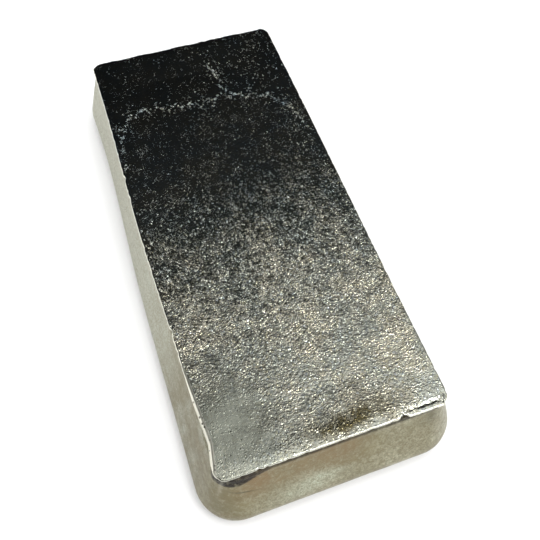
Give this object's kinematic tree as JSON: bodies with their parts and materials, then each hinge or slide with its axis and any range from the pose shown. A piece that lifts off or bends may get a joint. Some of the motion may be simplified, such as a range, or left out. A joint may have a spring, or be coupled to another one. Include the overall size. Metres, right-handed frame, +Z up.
{
  "type": "poured silver bar",
  "caption": "Cast silver bar with flanks that lean in to a smaller top face, rounded bottom edges and a thin raised flash rim, for stacking or storing flat.",
  "frame": {"origin": "centre of the bounding box's bottom, on the floor under the bar", "axes": "+X along the bar towards the end that is near in the picture, +Y across it, +Z up out of the smaller top face"},
  "size_m": [0.1134, 0.0527, 0.0182],
  "materials": {
    "cast_silver": "as-cast satin silver with a crystalline top and light brown tarnish"
  },
  "bodies": {
    "root": {"silver_bar": "cast_silver"}
  },
  "joints": []
}
